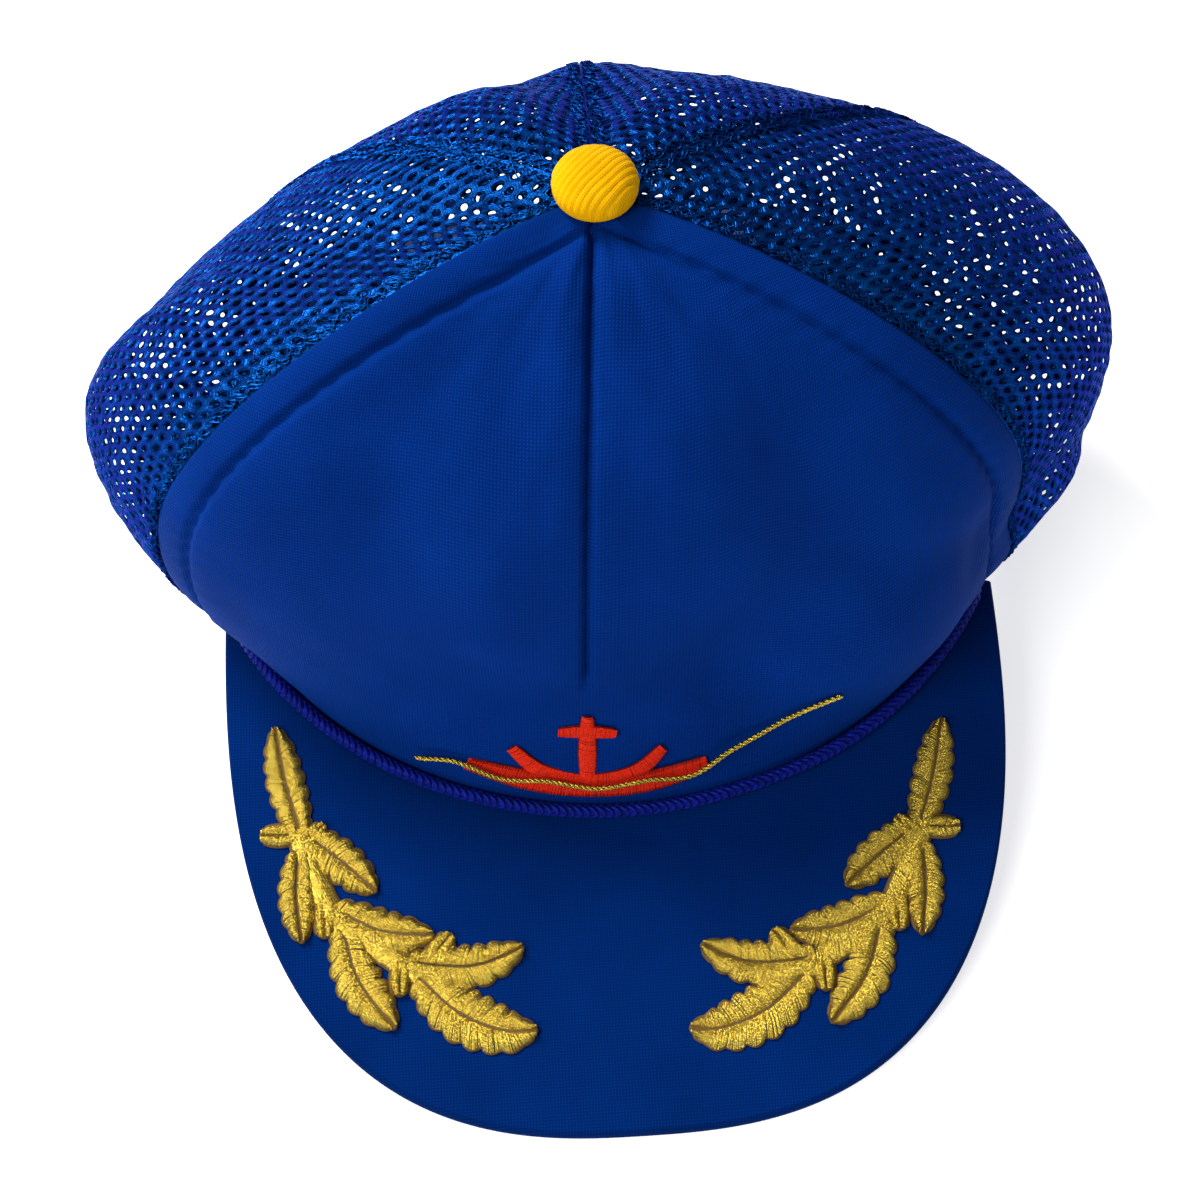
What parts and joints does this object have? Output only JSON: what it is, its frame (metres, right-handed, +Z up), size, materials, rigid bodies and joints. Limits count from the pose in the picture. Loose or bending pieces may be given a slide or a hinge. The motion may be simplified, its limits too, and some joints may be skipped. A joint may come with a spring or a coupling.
{
  "type": "snapback_cap",
  "caption": "Snapback cap with a padded front, net sides, an arched brim with gold leaf sprays and a yellow button",
  "frame": {"origin": "under the middle of the cap, on the table it rests on", "axes": "+Z up, -Y towards the front of the brim, +X towards the wearer's left"},
  "size_m": [0.234, 0.2452, 0.1319],
  "materials": {
    "twill": null,
    "net": null,
    "yellow_rib": null,
    "braid": null,
    "gold_thread": null,
    "red_thread": null,
    "plastic": null
  },
  "bodies": {
    "root": {"front_panel": "twill", "net_side_left": "net", "net_side_right": "net", "net_back_left": "net", "net_back_right": "net", "brim": "twill", "rope_braid": "braid", "crown_button": "yellow_rib", "sweatband": "twill", "opening_binding": "twill", "snap_strap": "plastic", "leaf_spray_left": "gold_thread", "leaf_spray_right": "gold_thread", "emblem_red": "red_thread", "emblem_gold": "gold_thread"}
  },
  "joints": []
}
